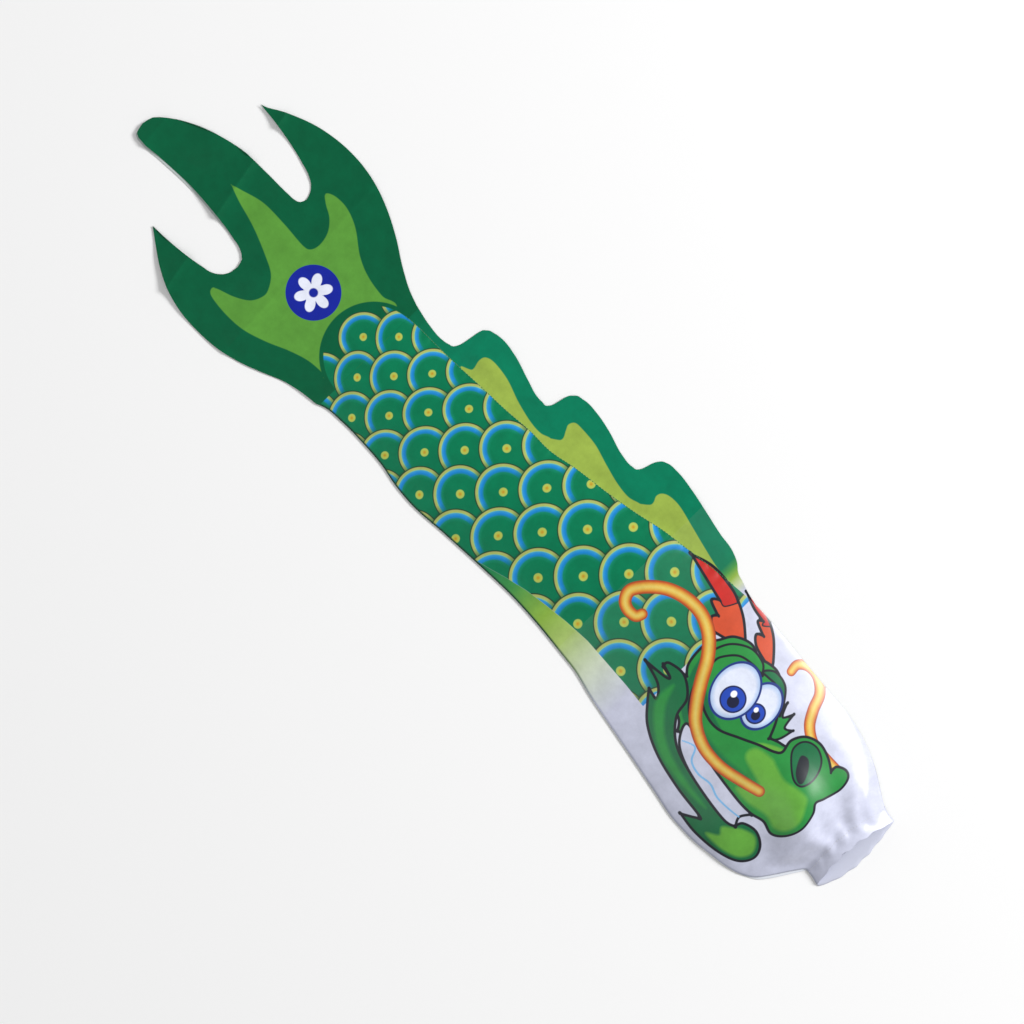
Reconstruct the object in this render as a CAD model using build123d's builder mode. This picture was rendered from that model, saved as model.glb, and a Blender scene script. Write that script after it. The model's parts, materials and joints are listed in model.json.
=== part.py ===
from build123d import *
from math import radians, tan
import os

# A carp streamer laid flat on its far side: two mirror-image cloth panels sewn into a tube along the
# belly and the back, with a waved fin outside the back seam, a tail of two loose layers with three
# prongs each, and a mouth drawn in by an elastic in a folded hem.
# The cloth is cut into bodies at its bends. +X points to the mouth, +Y to the fin, +Z up.

# Plies and trimmings
ply = 1.2               # one layer of cloth, as thick as collision needs it
ply_gap = 0.3           # air between the two panels where they lie on each other
seam_depth = 0.8        # the folded-in allowance of a turned seam
seam_width = 7.0        # how far that allowance reaches into the tube
seam_foot = 4.0         # flat edge of the near panel outside its arch
thread_width = 1.2
thread_height = 0.4
elastic_thickness = 1.0
elastic_width = 14.0
elastic_gap = 0.3       # play round the elastic in its hem

# Lengths, from the mouth lip to the tail
casing_width = 22.0     # folded hem at the mouth
shoulder_length = 62.0  # gathered cloth, out to the full head
head_length = 258.0     # full head, back to the first bend
front_length = 169.0    # under the last fin wave
middle_length = 126.0   # under the middle fin wave
rear_length = 189.0     # under the first fin wave, to where the tail layers come free
root_length = 200.0     # tail fan, out to the prongs
upper_prong = 94.0
middle_prong = 174.0
lower_prong = 81.0
notch_depth = 22.0      # how far the notches cut in past the prong hinges

# Sides, measured from the body line: the belly is negative, the back and the fin are positive
mouth_half = 57.5
mouth_height = 30.0
head_belly = 127.0
head_back = 108.0
head_height = 42.0
neck_belly = 98.0
neck_back = 115.0
neck_height = 22.0
waist_belly = 79.0
waist_back = 86.0
waist_height = 15.0
rear_belly = 85.0
rear_back = 71.0
rear_height = 12.0
end_belly = 84.0
end_back = 61.0
end_height = 8.0
fin_crests = [124.0, 142.0, 161.0]    # from the tail to the head
fin_valleys = [73.0, 106.0, 127.0]
lobe_up = 149.0         # outer edge of the upper prong
lobe_down = 124.0       # outer edge of the lower prong

# Motion
bend_limit = 45.0       # each way, at the three bends of the tube
flap_play = 2.0         # gap at the hinges of the flat tail layers
bend_play = 1.0         # air left between two shells bent to their limit

# Stations along the streamer
casing_end = casing_width
shoulder_end = casing_end + shoulder_length
bend_1 = shoulder_end + head_length
bend_2 = bend_1 + front_length
bend_3 = bend_2 + middle_length
tail_start = bend_3 + rear_length
prong_base = tail_start + root_length
length = prong_base + middle_prong
crown = shoulder_end + 0.34 * head_length
brow = shoulder_end + 0.73 * head_length

middle_side = (max(fin_crests) - head_belly) / 2
near_floor = ply + ply_gap              # underside of the near panel beside the fin
belly_floor = ply + seam_depth + 0.1    # and over a turned seam
reach = 2 * (lobe_up + head_belly)      # wider than any section


def at(back, side):
    # distance behind the mouth lip and side of the body line, as X and Y
    return (length / 2 - back, side - middle_side)


# Every section of the tube: distance behind the lip, belly side, back side, crown height
sections = [
    (casing_end, mouth_half, mouth_half, mouth_height),
    (shoulder_end, 0.89 * head_belly, 0.86 * head_back, 0.93 * head_height),
    (crown, head_belly, head_back, head_height),
    (brow, (head_belly + neck_belly) / 2, neck_back + 1, (head_height + neck_height) / 2),
    (bend_1, neck_belly, neck_back, neck_height),
    (bend_2, waist_belly, waist_back, waist_height),
    (bend_3, rear_belly, rear_back, rear_height),
    (tail_start, end_belly, end_back, end_height),
]
belly_line = [at(back, -belly) for back, belly, top, height in sections]
back_line = [at(back, top) for back, belly, top, height in sections]

# Body: where it starts and ends along the streamer
tube_bodies = {
    "head": (casing_end, bend_1),
    "front": (bend_1, bend_2),
    "middle": (bend_2, bend_3),
    "rear": (bend_3, tail_start),
}
heights = {bend_1: neck_height, bend_2: waist_height, bend_3: rear_height}


def gap(station):
    # room left at a station so that the two shells clear each other at the bend's limit
    if station == tail_start:
        return flap_play
    if station not in heights:
        return 0.0
    arm = (heights[station] + near_floor + ply) / 2
    return 2 * arm * tan(radians(bend_limit / 2)) + bend_play


def slab(start, end, low_side=-reach, high_side=reach):
    # a box over everything between two stations and two sides, for cutting a body out of a sheet
    x_end, y_low = at(end, low_side)
    x_start, y_high = at(start, high_side)
    with BuildPart(mode=Mode.PRIVATE) as box:
        with Locations(((x_start + x_end) / 2, (y_low + y_high) / 2, 0)):
            Box(x_start - x_end, y_high - y_low, 2 * reach)
    return box.part


def save(part, name):
    part.label = name
    export_step(part, f"parts/{name}.step")


def fin_points():
    # each wave climbs steeply from its valley on the tail side and slopes down towards the head
    valleys = [bend_3 + middle_length, bend_3, bend_2]
    points = []
    for valley, low, high in zip(valleys, fin_valleys, fin_crests):
        rise = high - low
        points += [
            at(valley, low),
            at(valley - 9, low + 0.30 * rise),
            at(valley - 14, low + 0.76 * rise),
            at(valley - 34, high),
            at(valley - 82, high - 10),
        ]
    return points


# The outline that both panels are cut to
lower_tip = at(prong_base + lower_prong, -76)
upper_tip = at(prong_base + upper_prong, 113)
middle_heel = at(length - 5, -15)
with BuildSketch() as outline:
    with BuildLine():
        belly = Spline(*belly_line)
        lower_lobe = Spline(
            belly @ 1,
            at(tail_start + 45, -0.77 * lobe_down),
            at(tail_start + 100, -0.93 * lobe_down),
            at(prong_base - 47, -lobe_down),
            at(prong_base - 10, -0.98 * lobe_down),
            at(prong_base + 42, -0.82 * lobe_down),
            lower_tip,
        )
        lower_notch = Spline(
            lower_tip,
            at(prong_base + 42, -73),
            at(prong_base - 8, -62),
            at(prong_base - notch_depth, -40),
            at(prong_base + 5, -19),
            at(prong_base + 42, -14),
        )
        middle_belly = Line(lower_notch @ 1, middle_heel)
        middle_back = Spline(
            middle_heel,
            at(length, 2),
            at(length - 42, 41),
            at(prong_base + 69, 60),
            at(prong_base + 33, 62),
        )
        upper_notch = Spline(
            middle_back @ 1,
            at(prong_base - 3, 63),
            at(prong_base - notch_depth, 75),
            at(prong_base - 6, 93),
            at(prong_base + 42, 107),
            upper_tip,
        )
        upper_lobe = Spline(
            upper_tip,
            at(prong_base + 33, 0.95 * lobe_up),
            at(prong_base - 21, lobe_up),
            at(tail_start + 99, 0.88 * lobe_up),
            at(tail_start + 44, 0.66 * lobe_up),
            at(tail_start, 0.53 * lobe_up),
            *fin_points(),
            at(bend_1 + 18, neck_back + 25),
            at(bend_1 - 4, neck_back + 12),
            at(bend_1 - 30, neck_back + 6),
            *reversed(back_line[:4]),
        )
        Line(upper_lobe @ 1, belly @ 0)
    make_face()

# The far panel lies flat; its underside is the face that the streamer rests on
with BuildPart() as far_sheet:
    add(outline.sketch)
    extrude(amount=ply)

with BuildPart() as near_flat:
    with BuildSketch(Plane.XY.offset(near_floor)):
        add(outline.sketch)
    extrude(amount=ply)


def roof_section(back, belly_side, back_side, height, back_floor):
    # one ply at a station: flat outside the seams, arched between them, standing on the seam below it
    x, y_belly = at(back, -belly_side + seam_foot)
    y_back = at(back, back_side - seam_foot)[1]
    y_crown = (y_belly + y_back) / 2
    z_crown = near_floor + height
    with BuildSketch(Plane.YZ.offset(x), mode=Mode.PRIVATE) as section:
        with BuildLine():
            under_belly = Line((y_belly - reach, belly_floor), (y_belly, belly_floor))
            under_arch = ThreePointArc(under_belly @ 1, (y_crown, z_crown), (y_back, back_floor))
            under_back = Line(under_arch @ 1, (y_back + reach, back_floor))
            back_end = Line(under_back @ 1, (y_back + reach, back_floor + ply))
            over_back = Line(back_end @ 1, (y_back, back_floor + ply))
            over_crown = (y_crown, z_crown + ply)
            over_arch = ThreePointArc(over_back @ 1, over_crown, (y_belly, belly_floor + ply))
            over_belly = Line(over_arch @ 1, (y_belly - reach, belly_floor + ply))
            Line(over_belly @ 1, under_belly @ 0)
        make_face()
    return section.sketch


os.makedirs("parts", exist_ok=True)

# The near panel arches over the tube between its seams, and lies flat outside them
for body, (start, end) in tube_bodies.items():
    first = start + gap(start) / 2
    last = end - gap(end) / 2
    with BuildPart() as far_panel:
        add(far_sheet.part)
        add(slab(first, last), mode=Mode.INTERSECT)
    save(far_panel.part, f"far_panel_{body}")
    back_floor = belly_floor if body == "head" else near_floor
    with BuildPart() as near_panel:
        for section in sections:
            if start <= section[0] <= end:
                add(roof_section(*section, back_floor))
        loft()
        with BuildSketch(Plane.XY.offset(-ply)):
            add(outline.sketch)
        extrude(amount=2 * head_height, mode=Mode.INTERSECT)
        add(slab(first, last), mode=Mode.INTERSECT)
    save(near_panel.part, f"near_panel_{body}")

# The tail's two loose layers: a fan with three prongs hinged to it
prongs = {
    "upper": (68.0, reach),
    "middle": (-40.0, 68.0),
    "lower": (-reach, -40.0),
}
for side, sheet in (("near", near_flat), ("far", far_sheet)):
    with BuildPart() as fan:
        add(sheet.part)
        add(slab(tail_start + flap_play / 2, prong_base - flap_play / 2), mode=Mode.INTERSECT)
    save(fan.part, f"{side}_tail_fan")
    for name, (low_side, high_side) in prongs.items():
        with BuildPart() as prong:
            add(sheet.part)
            cut = slab(prong_base + flap_play / 2, length + reach, low_side, high_side)
            add(cut, mode=Mode.INTERSECT)
        save(prong.part, f"{side}_{name}_prong")

# Turned seams: the folded-in allowance between the two panels, along the belly and the head's back
with BuildPart() as belly_seam:
    with BuildSketch(Plane.XY.offset(ply)):
        with BuildLine():
            edge = Spline(*belly_line)
            inner = Spline(*[(x, y + seam_width) for x, y in belly_line])
            Line(edge @ 0, inner @ 0)
            Line(edge @ 1, inner @ 1)
        make_face()
    extrude(amount=seam_depth)
for body, (start, end) in tube_bodies.items():
    with BuildPart() as seam:
        add(belly_seam.part)
        cut = slab(start + gap(start) / 2, end - gap(end) / 2)
        add(cut, mode=Mode.INTERSECT)
    save(seam.part, f"belly_seam_{body}")

head_back_line = back_line[:5]
with BuildPart() as head_seam:
    with BuildSketch(Plane.XY.offset(ply)):
        with BuildLine():
            edge = Spline(*head_back_line)
            inner = Spline(*[(x, y - seam_width) for x, y in head_back_line])
            Line(edge @ 0, inner @ 0)
            Line(edge @ 1, inner @ 1)
        make_face()
    extrude(amount=seam_depth)
    add(slab(casing_end, bend_1 - gap(bend_1) / 2), mode=Mode.INTERSECT)
save(head_seam.part, "back_seam_head")

# The stitched line that closes the tube below the fin
with BuildPart() as fin_thread:
    with BuildSketch(Plane.XY.offset(near_floor + ply)):
        with BuildLine():
            edge = Spline(*back_line[4:])
            inner = Spline(*[(x, y + thread_width) for x, y in back_line[4:]])
            Line(edge @ 0, inner @ 0)
            Line(edge @ 1, inner @ 1)
        make_face()
    extrude(amount=thread_height)
for body in ("front", "middle", "rear"):
    start, end = tube_bodies[body]
    with BuildPart() as stitch:
        add(fin_thread.part)
        cut = slab(start + gap(start) / 2, end - gap(end) / 2)
        add(cut, mode=Mode.INTERSECT)
    save(stitch.part, f"fin_stitch_{body}")

# The mouth: the panels' front edge folded inwards over an elastic and stitched down
channel = elastic_thickness + 2 * elastic_gap
fold_depth = 2 * ply + channel


def mouth_face(inset):
    # the mouth's outer face, flat below and arched above, drawn in by an inset
    y_low = at(0, -mouth_half)[1]
    y_high = at(0, mouth_half)[1]
    with BuildSketch(mode=Mode.PRIVATE) as face:
        with BuildLine():
            floor = Line((y_low, 0), (y_high, 0))
            top = ((y_low + y_high) / 2, near_floor + mouth_height + ply)
            ThreePointArc(floor @ 1, top, floor @ 0)
        make_face()
        fillet(face.vertices(), radius=mouth_height / 4)
        if inset:
            offset(amount=-inset, mode=Mode.REPLACE)
    return face.sketch


def mouth_band(outer, inner, start, width):
    # a band between two insets, from a distance behind the lip
    with BuildPart() as band:
        with BuildSketch(Plane.YZ.offset(length / 2 - start)):
            add(mouth_face(outer))
            add(mouth_face(inner), mode=Mode.SUBTRACT)
        extrude(amount=-width)
    return band.part


with BuildPart() as casing:
    add(mouth_band(0, ply, 0, casing_width))
    add(mouth_band(ply + channel, fold_depth, 0, casing_width))
    add(mouth_band(0, fold_depth, 0, ply))
save(casing.part, "mouth_casing")

elastic_outer = ply + elastic_gap
elastic_start = ply + 2 * elastic_gap
elastic = mouth_band(elastic_outer, elastic_outer + elastic_thickness, elastic_start, elastic_width)
save(elastic, "mouth_elastic")

stitch_start = casing_width - 2 * thread_width
save(mouth_band(ply, ply + channel, stitch_start, thread_width), "casing_stitch")
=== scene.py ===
import bpy
import json
import numpy as np
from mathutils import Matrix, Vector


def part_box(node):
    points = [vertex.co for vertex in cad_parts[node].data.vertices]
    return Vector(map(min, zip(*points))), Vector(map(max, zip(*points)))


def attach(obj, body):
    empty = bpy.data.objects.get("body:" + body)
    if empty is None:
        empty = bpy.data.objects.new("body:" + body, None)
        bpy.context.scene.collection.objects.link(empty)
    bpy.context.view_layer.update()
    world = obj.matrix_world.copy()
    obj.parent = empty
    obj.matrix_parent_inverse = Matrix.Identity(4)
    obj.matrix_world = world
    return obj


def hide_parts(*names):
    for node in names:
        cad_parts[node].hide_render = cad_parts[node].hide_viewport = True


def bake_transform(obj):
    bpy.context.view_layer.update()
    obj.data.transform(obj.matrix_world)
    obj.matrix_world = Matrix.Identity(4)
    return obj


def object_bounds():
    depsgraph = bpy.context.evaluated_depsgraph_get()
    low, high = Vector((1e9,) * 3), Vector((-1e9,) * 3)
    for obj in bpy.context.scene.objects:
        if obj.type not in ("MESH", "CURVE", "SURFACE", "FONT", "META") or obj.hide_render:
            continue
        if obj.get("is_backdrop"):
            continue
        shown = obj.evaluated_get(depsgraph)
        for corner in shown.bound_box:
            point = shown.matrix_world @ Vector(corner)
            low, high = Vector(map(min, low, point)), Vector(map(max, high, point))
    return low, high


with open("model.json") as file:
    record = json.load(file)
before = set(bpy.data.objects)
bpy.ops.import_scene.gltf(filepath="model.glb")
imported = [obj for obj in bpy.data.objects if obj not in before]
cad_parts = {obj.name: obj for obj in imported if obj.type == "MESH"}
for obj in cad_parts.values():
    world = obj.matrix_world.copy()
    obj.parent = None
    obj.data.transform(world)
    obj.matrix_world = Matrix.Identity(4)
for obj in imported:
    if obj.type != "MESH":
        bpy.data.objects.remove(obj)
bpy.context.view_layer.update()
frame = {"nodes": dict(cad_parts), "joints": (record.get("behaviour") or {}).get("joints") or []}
print("frame loaded, with", len(frame["nodes"]), "nodes")

# Everything below is laid out in two flat measures in millimetres: back, the distance behind the mouth
# lip, and side, the distance from the body line, belly negative and fin positive. The cloth's grid keeps
# both for every vertex, so that the print lies on the cloth wherever the cloth goes.
mm = 0.001
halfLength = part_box("mouth_casing")[1][0] / mm
middleSide = 17.0    # the body line's distance from the middle of the box
hinge = {joint["name"]: halfLength - joint["pos_m"][0] / mm for joint in frame["joints"]}
neck, waist, rear = hinge["neck_bend"], hinge["waist_bend"], hinge["rear_bend"]
tailStart, prongBase = hinge["near_tail_lift"], hinge["near_upper_curl"]

cut = {
    "step": 1.5,           # spacing of the grid along the streamer
    "tubeRows": 150,       # rows between the belly and the back seam
    "finRows": 32,         # rows between the back seam and the fin's edge
    "lowerRows": 48,       # of the tube's rows, those that run on into the lower prong
    "ply": 0.32,           # thickness of the satin
    "finStart": 300,       # where the fin leaves the back seam
    "notch": 1004,         # the bottoms of the two notches between the prongs
    "hem": 21.0,           # depth of the mouth's hem
}


def spread(values, coarse, fine):
    # a cubic Hermite curve along the first axis, from the coarse stations to the fine ones, its slope at
    # each station from the two beside it
    slope = np.gradient(values, coarse, axis=0)
    x = np.clip(fine, coarse[0], coarse[-1])
    i = np.clip(np.searchsorted(coarse, x, side="right") - 1, 0, len(coarse) - 2)
    shape = x.shape + (1,) * (values.ndim - 1)
    h = (coarse[i + 1] - coarse[i]).reshape(shape)
    t = (x - coarse[i]).reshape(shape) / h
    a = (2 * t**3 - 3 * t**2 + 1) * values[i] + (t**3 - 2 * t**2 + t) * h * slope[i]
    return a + (3 * t**2 - 2 * t**3) * values[i + 1] + (t**3 - t**2) * h * slope[i + 1]


def through(x, knots):
    # the same curve through (x, y) knots
    stations, values = np.array(knots, float).T
    return spread(values, stations, x)


def smooth(x, low, high):
    # 0 below low, 1 above high, an S-curve between
    t = np.clip((x - low) / (high - low), 0, 1)
    return t * t * (3 - 2 * t)


# The belly edge, the back seam and the fin's edge, as sides over the distance behind the lip
bellyEdge = [(0, -60), (16, -57), (24, -57), (33, -66), (50, -85), (70, -105), (84, -113), (104, -120),
             (130, -124), (155, -127), (172, -127), (192, -126), (224, -120), (272, -111), (322, -102),
             (360, -95), (394, -87), (418, -84.5), (467, -80), (506, -78.5), (554, -80.4), (613, -84),
             (666, -87.5), (696, -85), (720, -80.4), (754, -78), (790, -78), (818, -81.5), (826, -85)]
backSeam = [(0, 56), (16, 58.5), (25, 62), (40, 70), (65, 83), (93, 94.5), (127, 103.5), (176, 108),
            (224, 112), (272, 116), (300, 117), (326, 115.5), (358, 112), (408, 105), (436, 101),
            (476, 92), (515, 85), (563, 78), (595, 71.5), (629, 71), (665, 68), (710, 66), (745, 64),
            (778, 63), (810, 62.5), (826, 61)]
finEdge = [(300, 117), (318, 121), (330, 125), (342, 129), (350, 135.5), (362, 141), (389, 145.5),
           (418, 151.5), (447, 157.3), (476, 160.5), (490, 159), (498, 154), (502.5, 146), (505, 137),
           (509, 129.5), (516, 127), (535, 128.3), (564, 136.5), (588, 141), (611, 141), (623, 136),
           (628.5, 127), (631, 115), (635, 107), (644, 104.8), (652, 105), (673, 110.8), (704, 120),
           (727, 122.8), (739, 121), (748.4, 116.5), (752.8, 109.5), (754.6, 99), (756.5, 88), (760, 79),
           (768, 74), (777, 72.2), (799, 73.5), (826, 79)]
# The tail's outer edges and the two edges of each notch
tailUp = [(826, 79), (843, 85), (870, 99), (898, 116.5), (925, 130.5), (952, 141), (978, 147), (1005, 149),
          (1032, 147), (1059, 141), (1080, 133), (1100, 123), (1113, 115.5), (1120, 113)]
tailDown = [(826, -85), (843, -87), (870, -93.2), (898, -105), (925, -115.3), (952, -122), (979, -124.2),
            (1015, -122.3), (1042, -115), (1068, -102.5), (1090, -88), (1107, -76)]
upperInner = [(1004, 73.5), (1004.8, 78), (1007, 83), (1012, 89), (1020, 94), (1040, 100.5), (1068, 106.6),
              (1095, 110.7), (1120, 113)]
middleUp = [(1004, 73.5), (1004.8, 70), (1007.5, 66), (1013, 63.6), (1023, 62.8), (1059, 62.3),
            (1095, 60.6), (1126, 53.6), (1158, 41), (1180, 28), (1187, 22.5), (1194, 15.5), (1198, 9),
            (1200, -1)]
middleDown = [(1004, -39), (1005, -33), (1009, -27), (1016, -22.5), (1032, -18.6), (1068, -14),
              (1112, -11.7), (1158, -14), (1186, -16), (1194, -14.5), (1198, -10.5), (1200, -1)]
lowerInner = [(1004, -39), (1004.6, -46), (1007, -52.5), (1013, -60), (1021, -65), (1032, -67.6),
              (1068, -73.4), (1090, -75.3), (1107, -76)]


def sheetGrid():
    # rows run from the belly to the fin's edge; column by column their sides follow the outline, and
    # past the notches each prong's share of the rows closes on its own two edges
    back = np.arange(0, 1200 + cut["step"] / 2, cut["step"])
    rows = cut["tubeRows"] + cut["finRows"] + 1
    side = np.zeros((len(back), rows))
    share = np.linspace(0, 1, cut["tubeRows"] + 1)
    finShare = np.linspace(0, 1, cut["finRows"] + 1)
    tube = back <= tailStart
    low = through(back, bellyEdge)[:, None]
    seam = through(back, backSeam)[:, None]
    edge = np.where(back < cut["finStart"], seam[:, 0], through(back, finEdge))[:, None]
    side[:, : cut["tubeRows"] + 1] = low + (seam - low) * share
    side[:, cut["tubeRows"]:] = seam + (edge - seam) * finShare
    # tail: two guides split the rows, running from the tube's end to the bottoms of the notches
    first, second = cut["lowerRows"], cut["tubeRows"]
    b = back[~tube]
    start = side[tube][-1]
    ease = smooth(b, tailStart, cut["notch"])
    down = through(b, tailDown)
    up = through(b, tailUp)
    guideLow = start[first] + (middleDown[0][1] - start[first]) * ease
    guideHigh = start[second] + (middleUp[0][1] - start[second]) * ease
    past = b > cut["notch"]
    lowTop = np.where(past, through(b, lowerInner), guideLow)
    midLow = np.where(past, through(b, middleDown), guideLow)
    midTop = np.where(past, through(b, middleUp), guideHigh)
    upLow = np.where(past, through(b, upperInner), guideHigh)
    tail = np.zeros((len(b), rows))
    parts = ((0, first, down, lowTop), (first, second, midLow, midTop), (second, rows - 1, upLow, up))
    for a, z, bottom, top in parts:
        tail[:, a: z + 1] = bottom[:, None] + (top - bottom)[:, None] * np.linspace(0, 1, z - a + 1)
    side[~tube] = tail
    return back, side, midLow, lowTop, midTop


back, side, midLow, lowTop, midTop = sheetGrid()
print("grid", side.shape)

# How high the near panel stands over the far one before it is draped, and how much wider than its
# outline the panel was cut
puff = {
    "arch": [(0, 21), (22, 23), (50, 27), (84, 28), (172, 26), (272, 19), (342, 12), (430, 9), (511, 7),
             (637, 6), (760, 5), (826, 4.5), (856, 2), (900, 1), (1200, 0.8)],
    "extra": [(0, 0.06), (84, 0.06), (172, 0.05), (272, 0.03), (342, 0.018), (511, 0.012), (826, 0.010)],
    "gatherWidth": 152.0,     # the cut front edge, drawn in to the mouth by the elastic
    "lengthExtra": 0.014,
    "floor": 0.62,            # the outer face of the far panel over the ground
    "touch": 0.48,            # from the far panel's outer face to the near one's, where they lie together
    "pressure": 9.0,
    "frames": 46,
    "deepFold": 7.0,          # gathers that fan out from the mouth
    "smallFold": 1.1,
    "pucker": 0.35,           # little ridges where the thread draws the cloth in
    "slip": 2.4,              # how far the far middle prong shows beside the near one
    "creaseTail": 4.6,        # the fold lines that packing left across the tail
}


def gatherFolds(b, v):
    # sine folds across the width that bend as they run back from the mouth, few and deep over the
    # shoulders, more and shallow in front, none at the seams
    deep = smooth(b, 8, 48) * (1 - smooth(b, 90, 215))
    fine = smooth(b, 3, 16) * (1 - smooth(b, 28, 120))
    held = np.sin(np.pi * v) ** 0.6
    wave = puff["deepFold"] * deep * np.sin(2 * np.pi * (2.2 * v + 0.24 * np.sin(b / 37 + 2.5 * v) + 0.35))
    wave += puff["smallFold"] * fine * np.sin(2 * np.pi * (5.4 * v + 0.3 * np.sin(b / 23 + 1) + 0.3))
    return wave * held


def slowWaves(b, s):
    # a few long waves, as the flat cloth doesn't lie quite down
    return 0.9 * np.sin(b / 37 + s / 61) + 0.6 * np.sin(b / 17 - s / 29) + 0.3 * np.sin(b / 10 + s / 17)


def seamPuckers(b, fromSeam):
    # short ridges across the fin's stitching, fading to both sides of it
    wave = np.sin(b / 1.9 + 1.7 * np.sin(b / 23)) + 0.7 * np.sin(b / 3.3 + 2 * np.sin(b / 31))
    return puff["pucker"] * wave * np.exp(-np.abs(fromSeam) / 7)


def packingCreases(b, s):
    # low ridges along the lines that the folded streamer was pressed at, steep towards the mouth and
    # falling slowly towards the tips
    across = (1066 + 0.2 * s, 1183 + 0.1 * s, 951 + 0.06 * s)
    depth = (1.0, 0.6, 0.3)
    ridges = 0
    for line, k in zip(across, depth):
        past = b - line
        ridges = ridges + k * np.exp(np.where(past < 0, past / 6, -past / 24))
    return puff["creaseTail"] * ridges


def archedSheet():
    # the near layer: a sine arch between belly and seam with gathers at the mouth, and low beyond; the far
    # layer: flat. Both lips are drawn back, the near one most in the middle
    rows = side.shape[1]
    v = np.clip(np.arange(rows) / cut["tubeRows"], 0, 1)[None, :] + 0 * side
    b = back[:, None] + 0 * side
    height = through(back, puff["arch"])[:, None]
    tube = 1 - smooth(b, tailStart - 10, tailStart + 60)
    arch = height * np.sin(np.pi * v) ** 0.85 + gatherFolds(b, v)
    base = puff["floor"] + puff["touch"] + 0.75 * (1 - smooth(v, 0, 0.12)) * tube
    base += 0.75 * smooth(v, 0.88, 1) * (1 - smooth(b, 290, 330))
    fromSeam = side - through(back, backSeam)[:, None]
    beyond = np.maximum(smooth(fromSeam, 1, 26) * (b > cut["finStart"]), 1 - tube)
    flatTail = np.maximum(0.7 + slowWaves(b, side), 0) + packingCreases(b, side) * smooth(b, 900, 940)
    lipWave = 1.3 * np.sin(2 * np.pi * (5.3 * v + 0.1)) * (1 - smooth(b, 2, 30)) * np.sin(np.pi * v)
    nearBack = (18 * (1 - v) + 8 * v + 11.5 * np.sin(np.pi * v) + lipWave) * (1 - smooth(b, 4, 100))
    farBack = (15 * (1 - v) + 7 * v) * (1 - np.sin(np.pi * v) ** 0.8) + 1 - 0.6 * lipWave
    farBack *= 1 - smooth(b, 4, 80)
    lie = side - middleSide
    puckers = seamPuckers(b, fromSeam) * smooth(b, 330, 350) * tube
    near = np.stack([halfLength - b - nearBack, lie, base + arch * tube + flatTail * beyond + puckers], -1)
    slipped = smooth(b, 1006, 1070) * smooth(v * cut["tubeRows"], cut["lowerRows"] - 1, cut["lowerRows"])
    slipped *= 1 - smooth(v, 0.7, 1)
    far = np.stack([halfLength - b - farBack, lie - puff["slip"] * slipped, puff["floor"] + 0 * b], -1)
    return near, far


def gridQuads(n, m):
    # the four corners of each cell of a grid of n by m points
    index = np.arange(n * m).reshape(n, m)
    return np.stack([index[:-1, :-1], index[:-1, 1:], index[1:, 1:], index[1:, :-1]], -1)


def addObject(name, data):
    thing = bpy.data.objects.new(name, data)
    bpy.context.scene.collection.objects.link(thing)
    return thing


def writeUv(mesh, name, perVertex):
    # a uv map with the same value at every corner of a vertex
    loops = np.zeros(len(mesh.loops), np.int32)
    mesh.loops.foreach_get("vertex_index", loops)
    uv = mesh.uv_layers.new(name=name)
    uv.data.foreach_set("uv", perVertex[loops].ravel().astype(np.float32))


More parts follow.
